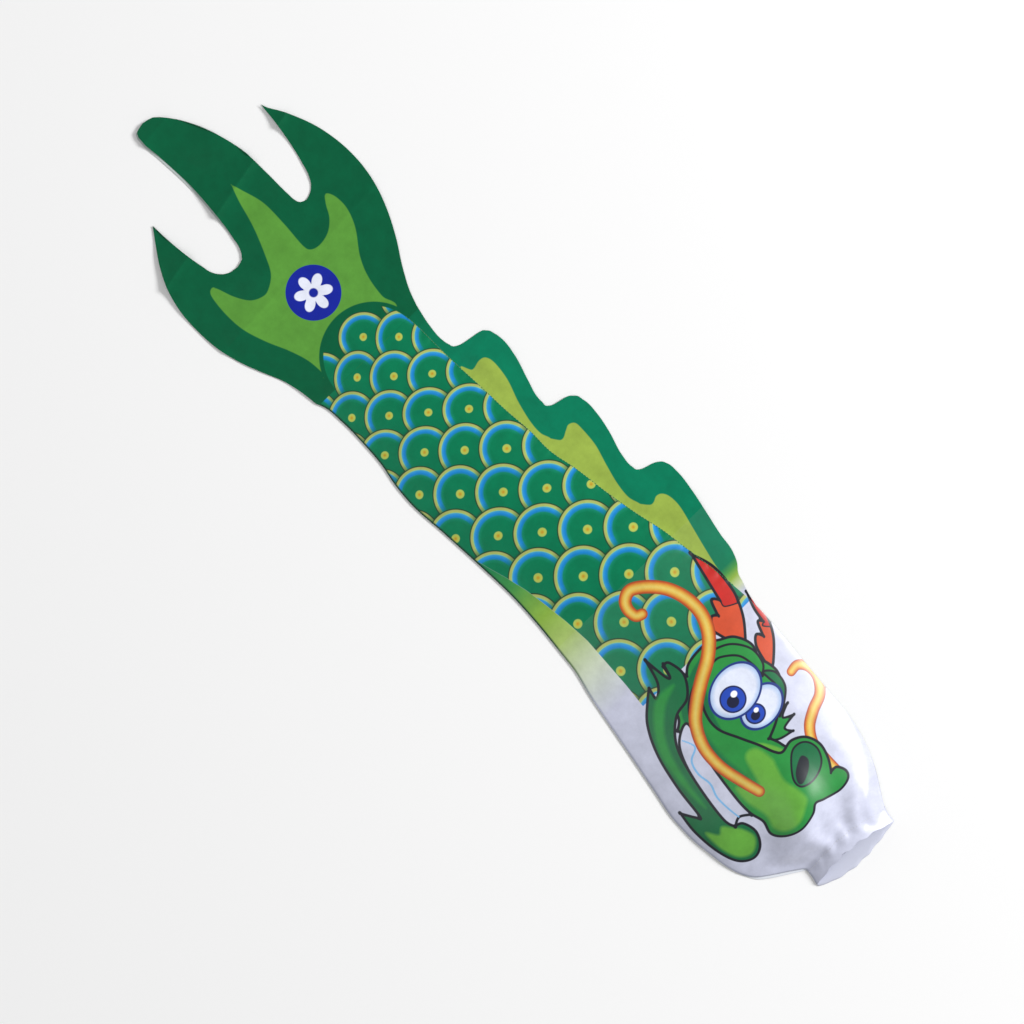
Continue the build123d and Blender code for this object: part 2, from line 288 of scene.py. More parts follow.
def drapeNear(near):
    # cloth simulation of the near panel over the tube: held along both seams, at the hem and at the tube's
    # end, cut wider than its outline, lifted by a little air
    colStep, rowStep = 4, 6
    cols = np.arange(0, int(tailStart / cut["step"]) + 1, colStep)
    rws = np.arange(0, cut["tubeRows"] + 1, rowStep)
    p = near[np.ix_(cols, rws)].copy()
    b = back[cols]
    s = side[np.ix_(cols, rws)]
    width = s[:, -1] - s[:, 0]
    middle = (s[:, -1] + s[:, 0])[:, None] / 2
    wide = np.maximum(width, puff["gatherWidth"] * (1 - smooth(b, 60, 130)))
    wide = wide * (1 + through(b, puff["extra"]))
    pattern = np.zeros_like(p)
    pattern[..., 0] = -b[:, None] * (1 + puff["lengthExtra"])
    pattern[..., 1] = middle + (s - middle) * (wide / width)[:, None]
    n, m = p.shape[:2]
    rng = np.random.default_rng(7)
    p[1:-1, 1:-1, 2] += rng.normal(0, 0.06, (n - 2, m - 2))
    mesh = bpy.data.meshes.new("drape")
    mesh.from_pydata((p.reshape(-1, 3) * mm).tolist(), [], gridQuads(n, m).reshape(-1, 4).tolist())
    drape = addObject("drape", mesh)
    held = drape.vertex_groups.new(name="held")
    pinned = np.zeros((n, m), bool)
    pinned[:, 0] = pinned[:, -1] = True
    pinned[b < cut["hem"] + 2] = True
    pinned[-1] = True
    held.add(np.flatnonzero(pinned).tolist(), 1.0, "REPLACE")
    drape.shape_key_add(name="Basis")
    flat = drape.shape_key_add(name="cut")
    flat.data.foreach_set("co", (pattern.reshape(-1) * mm).astype(np.float32))
    flat.value = 0.0
    cloth = drape.modifiers.new("cloth", "CLOTH")
    settings = {"quality": 8, "mass": 0.02, "tension_stiffness": 12, "compression_stiffness": 12,
                "shear_stiffness": 3, "bending_stiffness": 0.06, "use_pressure": True,
                "uniform_pressure_force": puff["pressure"], "vertex_group_mass": "held",
                "rest_shape_key": flat}
    for key, value in settings.items():
        setattr(cloth.settings, key, value)
    cloth.settings.effector_weights.gravity = 0.0
    cloth.point_cache.frame_start, cloth.point_cache.frame_end = 1, puff["frames"]
    scene = bpy.context.scene
    for f in range(1, puff["frames"] + 1):
        scene.frame_set(f)
    shown = drape.evaluated_get(bpy.context.evaluated_depsgraph_get())
    out = np.zeros(n * m * 3, np.float32)
    shown.data.vertices.foreach_get("co", out)
    out = out.reshape(n, m, 3) / mm
    scene.frame_set(1)
    bpy.data.objects.remove(drape)
    move = out - near[np.ix_(cols, rws)]
    for _ in range(2):
        move[1:-1] = 0.25 * move[:-2] + 0.5 * move[1:-1] + 0.25 * move[2:]
        move[:, 1:-1] = 0.25 * move[:, :-2] + 0.5 * move[:, 1:-1] + 0.25 * move[:, 2:]
    print("drape moved", np.abs(move).max((0, 1)).round(1), "mean", np.abs(move).mean((0, 1)).round(2))
    return cols.astype(float), rws.astype(float), move


def drapedSheet():
    near, far = archedSheet()
    cols, rws, move = drapeNear(near)
    move[..., :2] = np.clip(move[..., :2], -7, 7)
    fine = spread(move, cols, np.arange(len(back), dtype=float))
    fine = np.swapaxes(fine, 0, 1)
    fine = np.swapaxes(spread(fine, rws, np.arange(side.shape[1], dtype=float)), 0, 1)
    fade = 1 - smooth(back, tailStart - 30, tailStart + 30)
    near += fine * fade[:, None, None]
    near[..., 2] = np.maximum(near[..., 2], far[..., 2] + puff["touch"])
    return near, far


near, far = drapedSheet()
print("near panel stands", near[..., 2].max().round(1), "mm high")


def gridNormals(p, sign):
    # the cross product of the grid's two directions at each vertex, straight up where the grid has no width
    du = np.gradient(p, axis=0)
    dv = np.gradient(p, axis=1)
    n = np.cross(du, dv)
    size = np.linalg.norm(n, axis=-1, keepdims=True)
    n = np.where(size > 1e-6, n / np.maximum(size, 1e-9), np.array([0.0, 0.0, 1.0]))
    return n * np.where(n[..., 2:] < 0, -1.0, 1.0) * sign


def clothMesh(name, p, flat, keep, flip):
    # a grid of quads, one per kept cell, with its flat measures as the uv map "flat"
    quads = gridQuads(*p.shape[:2])[keep]
    if flip:
        quads = quads[:, ::-1]
    used, quads = np.unique(quads, return_inverse=True)
    quads = quads.reshape(-1, 4)
    mesh = bpy.data.meshes.new(name)
    mesh.vertices.add(len(used))
    mesh.vertices.foreach_set("co", (p.reshape(-1, 3)[used] * mm).ravel().astype(np.float32))
    mesh.loops.add(quads.size)
    mesh.loops.foreach_set("vertex_index", quads.ravel().astype(np.int32))
    mesh.polygons.add(len(quads))
    mesh.polygons.foreach_set("loop_start", np.arange(0, quads.size, 4, dtype=np.int32))
    mesh.update(calc_edges=True)
    mesh.polygons.foreach_set("use_smooth", np.ones(len(quads), bool))
    flatUsed = flat.reshape(-1, 2)[used]
    writeUv(mesh, "flat", flatUsed)
    return addObject(name, mesh), flatUsed, used


def applied(piece):
    # the piece with its modifiers made into mesh
    shown = piece.evaluated_get(bpy.context.evaluated_depsgraph_get())
    mesh = bpy.data.meshes.new_from_object(shown)
    piece.modifiers.clear()
    old = piece.data
    piece.data = mesh
    bpy.data.meshes.remove(old)
    mesh.name = piece.name
    return piece


def place(backAt, sideAt=0.0, z=1.0):
    return ((halfLength - backAt) * mm, (sideAt - middleSide) * mm, z * mm)


# The print. Each drawn shape is a closed line of (back, side) points; a point given twice is a corner.
drawn = {
    "face": [(302, 58), (292, 73), (272, 81), (254, 74), (254, 74), (244, 79), (228, 80), (212, 70),
        (199, 53), (189, 36), (182, 19), (182, 19), (168, 24), (148, 24), (135, -7), (131, -41), (155, -46),
        (184, -47), (217, -47), (247, -47), (261, -50), (261, -50), (269, -40), (283, -34), (283, -34),
        (290, -21), (302, -15), (324, -10), (324, -10), (310, -2), (299, 2), (299, 2), (307, 12), (310, 29),
        (309, 46)],
    "faceShade": [(293, -5), (301, 17), (303, 37), (288, 30), (275, 9), (255, -3), (231, -12), (192, -17),
        (155, -17), (126, -17), (137, -35), (171, -45), (216, -45), (249, -42), (275, -31)],
    "faceGlow": [(210, -10), (198, -4), (179, 13), (154, 22), (143, 3), (135, -11), (166, -13), (194, -15)],
    "jaw": [(323, -2), (302, 0), (281, -16), (274, -40), (250, -63), (211, -75), (162, -80), (136, -80),
        (136, -80), (132, -70), (115, -66), (99, -75), (93, -90), (104, -106), (129, -115), (162, -118),
        (188, -115), (188, -115), (174, -106), (171, -101), (214, -96), (257, -86), (290, -70), (311, -49),
        (318, -40), (318, -40), (304, -42), (316, -28), (343, -20), (343, -20), (316, -17), (311, -13),
        (327, -8), (327, -8)],
    "jawLight": [(127, -75), (113, -71), (103, -78), (99, -90), (108, -103), (129, -110), (153, -110),
        (141, -100), (146, -91), (136, -82)],
    "jawShade": [(302, -16), (290, -42), (262, -68), (220, -82), (174, -89), (209, -91), (253, -84),
        (285, -65), (304, -42)],
    "grin": [(260, -37), (250, -58), (225, -71), (188, -79), (150, -83), (136, -79), (136, -79), (141, -68),
        (134, -56), (134, -56), (156, -51), (197, -47), (232, -42)],
    "snout": [(285, 5), (274, -19), (248, -37), (209, -49), (162, -55), (136, -55), (118, -51), (101, -55),
        (87, -44), (80, -26), (84, -6), (92, 5), (87, 16), (80, 35), (83, 51), (92, 56), (103, 51),
        (104, 42), (104, 42), (118, 51), (136, 56), (153, 50), (162, 35), (160, 19), (167, 12), (185, 5),
        (206, -5), (232, -16), (257, -12)],
    "snoutLight": [(185, 0), (164, 5), (153, 2), (136, -2), (118, 2), (104, 2), (97, -7), (89, -23),
        (92, -40), (104, -48), (122, -44), (146, -49), (168, -47), (150, -28), (185, -16)],
    "snoutShade": [(274, -9), (249, -26), (209, -33), (162, -30), (185, -40), (232, -40), (260, -28)],
    "noseRing": [(153, 40), (146, 48), (134, 50), (122, 44), (115, 33), (113, 19), (118, 7), (129, 6),
        (143, 16), (153, 28)],
    "nostril": [(142, 30), (134, 34), (125, 26), (119, 12), (123, 7), (134, 14)],
    "browNear": [(299, 40), (290, 63), (269, 77), (248, 75), (239, 65), (239, 65), (255, 66), (274, 61),
        (288, 44), (290, 30)],
    "browFar": [(241, 68), (230, 78), (211, 75), (197, 58), (192, 47), (192, 47), (204, 58), (218, 68),
        (232, 68)],
    "hornNear": [(394, 105), (394, 105), (366, 113), (332, 110), (302, 97), (276, 75), (276, 75), (288, 68),
        (311, 61), (316, 61), (316, 61), (327, 70), (323, 77), (323, 77), (341, 84), (334, 91), (334, 91),
        (360, 97)],
    "hornNearTip": [(394, 105), (394, 105), (366, 113), (332, 110), (316, 104), (316, 104), (325, 89),
        (334, 91), (334, 91), (360, 97)],
    "hornFar": [(317, 120), (317, 120), (290, 120), (262, 107), (241, 86), (236, 77), (236, 77), (250, 79),
        (267, 84), (276, 93), (269, 98), (269, 98), (285, 105), (281, 110), (281, 110), (299, 113)],
    "hornFarTip": [(317, 120), (317, 120), (290, 120), (269, 112), (269, 112), (278, 105), (281, 110),
        (281, 110), (299, 113)],
    "tuft": [(197, 30), (195, 61), (195, 61), (188, 47), (181, 58), (181, 58), (178, 40), (169, 44),
        (169, 44), (174, 26), (185, 16)],
    "tailFigure": [(838, 59), (862, 58), (889, 62), (913, 72), (940, 91), (963, 100), (983, 100), (993, 94),
        (984, 86), (970, 78), (959, 65), (955, 49), (958, 37), (968, 33), (1001, 35), (1036, 35),
        (1065, 27), (1076, 23), (1076, 23), (1057, 16), (1024, 7), (991, -6), (970, -17), (959, -33),
        (959, -44), (966, -56), (982, -66), (1001, -73), (1007, -77), (1001, -84), (975, -87), (947, -85),
        (919, -76), (892, -64), (867, -56), (841, -54), (841, -54), (814, 0)],
    "finWave1": [(736, 64), (727, 73), (729, 86), (726, 94), (714, 97), (690, 94), (663, 85), (637, 79),
        (619, 78), (605, 82), (593, 75), (593, 58), (663, 58)],
    "finWave2": [(607, 75), (596, 90), (600, 101), (603, 108), (599, 115), (588, 116), (564, 114),
        (539, 107), (515, 101), (494, 99), (476, 103), (465, 93), (465, 70), (535, 70)],
    "finWave3": [(481, 93), (469, 112), (472, 123), (469, 130), (460, 134), (444, 134), (418, 128),
        (389, 121), (360, 115), (325, 112), (325, 93), (395, 93)],
}
strokes = {
    "whiskerNear": [(147, -31), (171, -38), (199, -44), (227, -42), (252, -30), (269, -12), (283, 9),
        (298, 35), (316, 54), (337, 64), (360, 65), (383, 58), (402, 44), (415, 26), (412, 13), (402, 7),
        (390, 8), (386, 15)],
    "whiskerFar": [(99, 49), (120, 49), (141, 51), (158, 62), (168, 79), (175, 98), (190, 110), (206, 111),
        (217, 103), (217, 92)],
    "teeth": [(249, -54), (234, -49), (225, -63), (209, -68), (191, -66), (174, -71), (153, -70),
        (141, -68)],
    "smile": [(323, 9), (308, 7), (290, 9)],
}
lattice = {
    # the row of scales that a column stands in for each distance behind the lip, counted in half pitches
    "column": [(262, 17.6), (282, 17), (319, 16), (356, 15), (394, 14), (465, 12), (535, 10), (600, 8),
        (666, 6), (727, 4), (785, 2), (843, 0), (901, -2)],
    "middle": [(320, -9), (355, -8), (427, -5), (498, -1.7), (566, -1.2), (631, -0.6), (697, 2), (755, 1.2),
        (814, 4.7), (843, 9)],
    "spacing": [(355, 41), (427, 41.4), (498, 40.2), (566, 39.6), (631, 37.9), (697, 36.1), (755, 35),
        (814, 33.8)],
}


def curveThrough(points, closed=True):
    # a Catmull-Rom line through the points, twelve steps to a span; a doubled point makes a corner
    pts = np.array(points, float)
    before = np.roll(pts, 1, 0) if closed else np.vstack([pts[:1], pts[:-1]])
    after = np.roll(pts, -1, 0) if closed else np.vstack([pts[1:], pts[-1:]])
    later = np.roll(pts, -2, 0) if closed else np.vstack([pts[2:], pts[-1:], pts[-1:]])
    spans = len(pts) if closed else len(pts) - 1
    t = np.linspace(0, 1, 12, endpoint=False)[None, :, None]
    p0, p1, p2, p3 = (q[:spans, None, :] for q in (before, pts, after, later))
    line = 0.5 * (2 * p1 + (p2 - p0) * t + (2 * p0 - 5 * p1 + 4 * p2 - p3) * t**2
                  + (3 * p1 - p0 - 3 * p2 + p3) * t**3)
    line = line.reshape(-1, 2)
    moved = np.linalg.norm(np.diff(line, axis=0), axis=1) > 1e-6
    line = line[np.concatenate([[True], moved])]
    return line if closed else np.vstack([line, pts[-1:]])


def distanceTo(line, at, closed=True):
    # distance to a line of short segments; for a closed line negative inside, by the even-odd rule
    ends = np.roll(line, -1, 0) if closed else line[1:]
    starts = line if closed else line[:-1]
    best = np.full(len(at), 1e9)
    along = np.zeros(len(at))
    inside = np.zeros(len(at), bool)
    for k, (a, z) in enumerate(zip(starts, ends)):
        d = z - a
        rel = at - a
        t = np.clip(rel @ d / max(d @ d, 1e-12), 0, 1)
        away = rel - t[:, None] * d
        dist = (away**2).sum(1)
        closer = dist < best
        best[closer] = dist[closer]
        along[closer] = (k + t[closer]) / len(starts)
        if closed and a[1] != z[1]:
            crosses = (a[1] > at[:, 1]) != (z[1] > at[:, 1])
            inside ^= crosses & (rel[:, 0] < d[0] * rel[:, 1] / d[1])
    best = np.sqrt(best)
    return (np.where(inside, -best, best), along)


def nearBox(at, line, margin):
    # the points within a margin of a line's own box: the rest are far outside it
    return ((at >= line.min(0) - margin) & (at <= line.max(0) + margin)).all(1)


kept = (-40, 8)    # how deep inside and how far outside a drawn line its distance is kept, in millimetres


def shapeField(name, at):
    line = curveThrough(drawn[name])
    close = nearBox(at, line, kept[1])
    field = np.full(len(at), float(kept[1]))
    if close.any():
        field[close] = np.clip(distanceTo(line, at[close])[0], *kept)
    return field


def strokeField(name, at, width):
    # distance from the stroke's middle line as a share of its half width, which narrows at the root
    line = curveThrough(strokes[name], closed=False)
    close = nearBox(at, line, 14)
    field = np.full(len(at), 3.0)
    if close.any():
        dist, along = distanceTo(line, at[close], closed=False)
        half = width / 2 * (0.82 + 0.22 * np.sin(np.pi * np.clip(along, 0, 1)))
        field[close] = np.clip(dist / half, 0, 3)
    return field


def ellipseField(at, centre, radii, tilt):
    # about the signed distance to a tilted ellipse
    c, s = np.cos(np.radians(tilt)), np.sin(np.radians(tilt))
    d = at - np.array(centre)
    x, y = d[:, 0] * c + d[:, 1] * s, -d[:, 0] * s + d[:, 1] * c
    r = np.hypot(x / radii[0], y / radii[1])
    return np.clip((r - 1) * min(radii), *kept)


eyes = {
    "eyeNear": ((248, 30), (26.5, 35), -8), "eyeFar": ((214, 39), (20.5, 29), -6),
    "irisNear": ((243, 21), (14.5, 15), 0), "irisFar": ((213, 28), (10.5, 11.5), 0),
    "pupilNear": ((241, 19), (7, 7.5), 0), "pupilFar": ((211.5, 26.5), (5, 6), 0),
    "glintNear": ((246.5, 26), (3.6, 4.2), 0), "glintFar": ((215.5, 31.5), (2.6, 3.2), 0),
}
tubeParts = ("head", "waist", "back", "tail_root")
tailParts = ("tail_root", "lower_prong", "middle_prong", "upper_prong")
badge = {
    "centre": (920.5, 3.5),
    "radius": 32.6,
    "heart": 5.5,         # radius of the rosette's middle
    "collar": (818, 2, 64),    # the round end of the scales on the tail: its centre and its radius
}
whiteTo, scalesFrom = 300, 309    # where the head's white ends on the belly, and where scales start


def inkFields(at, part):
    # every field that the print of this part of the cloth is drawn from, and the band of painted shade
    # along the belly edge
    b, s = at.T
    fields = {}
    if part in tubeParts:
        seam = np.where(b < tailStart, through(b, backSeam), 61)
        belly = np.interp(b, [300, 340, 373, 408, 440, 475, 500, 525, 545, 563, 590],
                          [-60, -56, -54, -52, -54, -58, -62, -68, -74, -79, -90])
        fields["scaleArea"] = np.clip(np.maximum.reduce([scalesFrom - b, belly - s, s - seam]), *kept)
        fields["bellyArea"] = np.clip(np.maximum(s - belly, whiteTo - b), *kept)
        fields["finArea"] = np.clip(seam - s, *kept)
        # margin: a band of painted shade along the belly edge, standing in for the shade under the turned
        # edge
        fields["margin"] = np.clip(s - through(b, bellyEdge), -8, 8)
        fields["finLime"] = np.minimum.reduce([shapeField(f"finWave{k}", at) for k in (1, 2, 3)])
    if part == "head":
        for name in drawn:
            if name != "tailFigure" and not name.startswith("finWave"):
                fields[name] = shapeField(name, at)
        for name, (centre, radii, tilt) in eyes.items():
            fields[name] = ellipseField(at, centre, radii, tilt)
        for name, width in (("whiskerNear", 16), ("whiskerFar", 13.5), ("teeth", 2.4)):
            fields[name] = strokeField(name, at, width)
    if part in tailParts:
        fields["tailFigure"] = shapeField("tailFigure", at)
        collarBack, collarSide, collarRadius = badge["collar"]
        fields["collar"] = np.clip(np.hypot(b - collarBack, s - collarSide) - collarRadius, *kept)
        x, y = b - badge["centre"][0], s - badge["centre"][1]
        out = np.hypot(x, y)
        fields["badge"] = np.clip(out - badge["radius"], *kept)
        petals = 8 + 15 * np.abs(np.cos(3 * np.arctan2(y, x))) ** 0.7
        fields["rosette"] = np.clip(np.maximum(out - petals, badge["heart"] - out) * 0.8, *kept)
    return fields


def setInk(mesh, flatUsed, part):
    # the fields as float attributes, and the place in the lattice of scales as a second uv map
    for name, values in inkFields(flatUsed, part).items():
        ink = mesh.attributes.new(name, "FLOAT", "POINT")
        ink.data.foreach_set("value", values.astype(np.float32))
    b, s = flatUsed.T
    column = through(b, lattice["column"])
    row = (s - through(b, lattice["middle"])) / through(b, lattice["spacing"])
    writeUv(mesh, "lattice", np.stack([column, row], -1))
    mesh.uv_layers["flat"].active = True


def linear(hexColour):
    # sRGB hex to linear
    c = np.array([int(hexColour[i: i + 2], 16) for i in (1, 3, 5)]) / 255
    c = np.where(c <= 0.04045, c / 12.92, ((c + 0.055) / 1.055) ** 2.4)
    return (*c.tolist(), 1.0)


def put(tree, kind, links=None, out=0, stops=(), **settings):
    # adds a node, sets its properties and its ramp's colours, sets or links its inputs, gives an output
    node = tree.nodes.new("ShaderNode" + kind)
    for key, value in settings.items():
        setattr(node, key, value)
    for key, value in (links or {}).items():
        if isinstance(value, bpy.types.NodeSocket):
            tree.links.new(value, node.inputs[key])
        else:
            node.inputs[key].default_value = value
    for k, (position, colour) in enumerate(stops):
        bar = node.color_ramp.elements
        if k == 0:
            bar.remove(bar[1])
        stop = bar.new(position) if k else bar[0]
        stop.position, stop.color = position, linear(colour)
    return node.outputs[out]


def inside(tree, value, edge=0.0, soft=0.35):
    # 1 where a value, or the field of that name, is under an edge, 0 outside, a hair's softness between
    if isinstance(value, str):
        value = put(tree, "Attribute", out="Fac", attribute_name=value)
    return put(tree, "MapRange", {"Value": value, "From Min": edge + soft, "From Max": edge - soft})


inkColours = {
    "outline": "#0b0f1d", "tailDark": "#005c3a", "tailLight": "#5b993b", "scaleGreen": "#00764f",
    "white": "#c8cbdf", "badge": "#14249a", "faceDark": "#006a3c", "faceMid": "#1f8a3a",
    "faceLight": "#62a93a", "red": "#c01e16", "orange": "#cc4c28", "eyeWhite": "#dde3f4",
    "iris": "#1c46b4",
}


dot = [(0.0, "#b38a2c"), (0.04, "#bfa236"), (0.085, "#b5bd50"), (0.135, "#a9bd5c"), (0.16, "#00764f")]
rings = dot + [(0.56, "#00764f"), (0.66, "#0f8262"), (0.70, "#1b7fae"), (0.745, "#1583cf"),
               (0.80, "#2f8fd0"), (0.835, "#3da0c6"), (0.86, "#8fc08a"), (0.875, "#a7b95f"),
               (0.945, "#a9ac68"), (0.958, "#59683a"), (0.968, "#23472c"), (1.0, "#0e4a35")]
plainRings = dot + [(0.86, "#00704b"), (0.94, "#0a5f42"), (0.965, "#23472c"), (1.0, "#0e4a35")]


def scalePattern(tree, base):
    # overlapping round scales: each column's discs lie on those of the column before it, towards the tail;
    # for a point the three columns whose discs can reach it are tried, the topmost last. In a column every
    # second row holds a disc, so the way to the nearest one is a to-and-fro of the row
    spot = put(tree, "UVMap", uv_map="lattice")
    column, row = (put(tree, "SeparateXYZ", {0: spot}, k) for k in (0, 1))
    whole = put(tree, "Math", {0: column}, operation="FLOOR")
    result = base
    for step in (-1.0, 0.0, 1.0):
        i = put(tree, "Math", {0: whole, 1: step}, operation="ADD")
        ahead = put(tree, "Math", {0: column, 1: i}, operation="SUBTRACT")
        aside = put(tree, "Math", {0: row, 1: i}, operation="SUBTRACT")
        aside = put(tree, "Math", {0: aside, 1: 1.0}, operation="PINGPONG")
        away = put(tree, "CombineXYZ", {0: ahead, 1: aside})
        away = put(tree, "VectorMath", {0: away, 1: (0.975, 1.11, 1.0)}, operation="MULTIPLY")
        d = put(tree, "VectorMath", {0: away}, "Value", operation="LENGTH")
        towards = put(tree, "VectorMath", {0: away}, operation="NORMALIZE")
        towards = put(tree, "SeparateXYZ", {0: towards})
        blue = put(tree, "MapRange", {"Value": towards, "From Min": 0.12, "From Max": -0.3})
        plain, ringed = (put(tree, "ValToRGB", {0: d}, stops=stops) for stops in (plainRings, rings))
        disc = put(tree, "Mix", {0: blue, 6: plain, 7: ringed}, 2, data_type="RGBA")
        counts = put(tree, "Math", {0: i, 1: -0.5}, operation="GREATER_THAN")
        share = put(tree, "Math", {0: inside(tree, d, 0.995, 0.006), 1: counts}, operation="MULTIPLY")
        result = put(tree, "Mix", {0: share, 6: result, 7: disc}, 2, data_type="RGBA")
    return result


# How colours run along the streamer: first and last distance behind the lip, and the stops between
runs = {
    "belly": (330, 560, [(0.0, "#c8cbdf"), (0.22, "#cbd6bf"), (0.42, "#a8c26e"), (0.58, "#8ab244"),
                         (0.8, "#3f9048"), (1.0, "#007a50")]),
    "fin": (322, 376, [(0.0, "#c8cbdf"), (0.16, "#cbd6ad"), (0.36, "#93b546"), (0.52, "#4a9848"),
                       (0.66, "#007a54"), (1.0, "#007a58")]),
    "finLime": (322, 376, [(0.0, "#c8cbdf"), (0.2, "#cbd6ad"), (0.45, "#9db84e"), (1.0, "#9ab34b")]),
    # painted shade along the belly edge: pale grey on the white, near black on the green
    "margin": (345, 450, [(0.0, "#a9adc0"), (0.5, "#5f7a4c"), (1.0, "#0a3d2a")]),
}
whiskerTube = [(0.0, "#dcc465"), (0.30, "#dab048"), (0.58, "#d0842a"), (0.80, "#bd501d"), (1.0, "#8f3b19")]


def printColour(tree, part):
    # the whole print, layer over layer, with the painted shade along the belly edge, as one colour
    colour = linear(inkColours["white" if part in tubeParts else "tailDark"])
    flat = put(tree, "UVMap", uv_map="flat")
    backAt = put(tree, "SeparateXYZ", {0: flat})

    def lay(ink, *shares):
        # an ink over what is there already, by the product of shares from 0 to 1
        nonlocal colour
        share = shares[0]
        for other in shares[1:]:
            share = put(tree, "Math", {0: share, 1: other}, operation="MULTIPLY")
        if isinstance(ink, str):
            ink = linear(inkColours.get(ink, ink))
        colour = put(tree, "Mix", {0: share, 6: colour, 7: ink}, 2, data_type="RGBA")

    def fill(name, ink, edge=0.0, soft=0.35):
        lay(ink, inside(tree, name, edge, soft))

    def outlined(name, ink, line=1.9, lineInk="outline"):
        fill(name, lineInk, line)
        fill(name, ink, -0.7 * line)

    def run(name):
        first, last, stops = runs[name]
        share = put(tree, "MapRange", {"Value": backAt, "From Min": first, "From Max": last})
        return put(tree, "ValToRGB", {0: share}, stops=stops)

    def whisker(name):
        share = put(tree, "Attribute", out="Fac", attribute_name=name)
        lay(put(tree, "ValToRGB", {0: share}, stops=whiskerTube), inside(tree, share, 1.0, 0.05))

    if part in tubeParts:
        fill("scaleArea", scalePattern(tree, linear(inkColours["scaleGreen"])))
        fill("bellyArea", run("belly"))
        # painted shade: a dark band within about 2 mm of the belly edge, where the turned edge faces down
        # into shade
        fill("margin", run("margin"), 2.0, 0.8)
        lime = inside(tree, "finLime", 0.0, 0.5)
        fin = put(tree, "Mix", {0: lime, 6: run("fin"), 7: run("finLime")}, 2, data_type="RGBA")
        fill("finArea", fin)
    if part in tailParts:
        always = 1.0
        if part == "tail_root":
            nearTail = put(tree, "MapRange", {"Value": backAt, "From Min": 760, "From Max": 850})
            outside = put(tree, "Math", {0: 1.0, 1: inside(tree, "scaleArea")}, operation="SUBTRACT")
            lay("tailDark", nearTail, outside)
            always = put(tree, "MapRange", {"Value": backAt, "From Min": 821.65, "From Max": 822.35})
            lay("tailDark", always)
        lay("tailLight", inside(tree, "tailFigure", 0.0, 0.5), always)
        if part == "tail_root":
            lay("tailDark", inside(tree, "collar", 0.0, 0.5), always)
            collar = inside(tree, "collar", -5.0, 0.5)
            lay(scalePattern(tree, colour), inside(tree, "scaleArea"), collar, always)
        fill("badge", "badge")
        fill("rosette", "#e8ecfb", 0.0, 0.5)
    if part == "head":
        whisker("whiskerFar")
        for horn in ("hornFar", "hornNear"):
            fill(horn, "outline", 1.9)
            fill(horn, "orange", -1.5)
            fill(horn + "Tip", "outline", 0.2)
            fill(horn + "Tip", "red", -1.5)
        outlined("tuft", "faceMid", 1.6)
        outlined("face", "faceMid")
        fill("faceShade", "faceDark", 0.0, 1.2)
        fill("faceGlow", "faceLight", 0.0, 1.2)
        outlined("jaw", "faceDark")
        fill("jawShade", "faceMid", 0.0, 2.5)
        fill("jawLight", "faceLight", 0.0, 2.0)
        outlined("grin", "white")
        fill("teeth", "#7fb8e6", 1.0, 0.2)
        for eye, brow in (("Far", "faceDark"), ("Near", "faceMid")):
            outlined("brow" + eye, brow, 1.6)
            outlined("eye" + eye, "eyeWhite", 1.5, "#142f7c")
            rim = put(tree, "Attribute", out="Fac", attribute_name="eye" + eye)
            rim = put(tree, "MapRange", {"Value": rim, "From Min": -6.0, "From Max": -0.4})
            lay("#9dbbe4", rim, inside(tree, "eye" + eye, -1.0))
            outlined("iris" + eye, "iris", 1.1, "#0e1a52")
            fill("pupil" + eye, "#0b1238")
            fill("glint" + eye, "#ffffff", 0.0, 0.5)
        outlined("snout", "faceMid")
        fill("snoutShade", "faceDark", 0.0, 3.0)
        fill("snoutLight", "faceLight", 0.0, 2.5)
        outlined("noseRing", "faceDark", 1.4)
        fill("nostril", "#0a1420", 0.0, 0.6)
        whisker("whiskerNear")
    return colour


satin = {
    "roughness": 0.34,
    "threadPitch": 0.9,      # mm; the real satin has about 0.1 mm, drawn coarser so that it shows
    "weaveHeight": 0.10,
    "gloss": 0.16,
    "whiteGloss": 0.5,       # the head, mostly white and drawn tight, shines more
}


def startMaterial(label, **looks):
    # a new material whose shader has these looks, given as roughness, specular or sheen
    material = bpy.data.materials.new(label)
    material.use_nodes = True
    shader = material.node_tree.nodes["Principled BSDF"]
    sockets = {"colour": "Base Color", "roughness": "Roughness", "specular": "Specular IOR Level",
               "sheen": "Sheen Weight"}
    for look, value in looks.items():
        shader.inputs[sockets[look]].default_value = value
    return material, material.node_tree, shader


def printedSatin(part):
    # polyester satin, dye-printed by heat: the ink is in the yarn, so colour and gloss are even, with a
    # soft broad highlight along the floats and a faint mottle where the transfer took unevenly
    material, tree, shader = startMaterial(
        "dye-printed polyester satin, " + part, roughness=satin["roughness"],
        specular=satin["whiteGloss"] if part == "head" else satin["gloss"])
    colour = printColour(tree, part)
    flat = put(tree, "UVMap", uv_map="flat")
    mottle = put(tree, "TexNoise", {"Vector": flat, "Scale": 0.045, "Detail": 8.0, "Roughness": 0.7})
    darker = put(tree, "MapRange", {"Value": mottle, "From Min": 0.3, "From Max": 0.7,
                                    "To Min": 0.86, "To Max": 1.1})
    tone = put(tree, "VectorMath", {0: colour, 3: darker}, operation="SCALE")
    tree.links.new(tone, shader.inputs["Base Color"])
    # satin floats: long narrow ribs along the cloth, broken by a finer cross grain
    warp = put(tree, "Mapping", {"Vector": flat, "Scale": (0.35, 1.0, 1.0)})
    ribs = put(tree, "TexNoise", {"Vector": warp, "Scale": 1 / satin["threadPitch"], "Detail": 2.0})
    bump = put(tree, "Bump", {"Height": ribs, "Strength": 0.25, "Distance": satin["weaveHeight"] * mm})
    tree.links.new(bump, shader.inputs["Normal"])
    return material


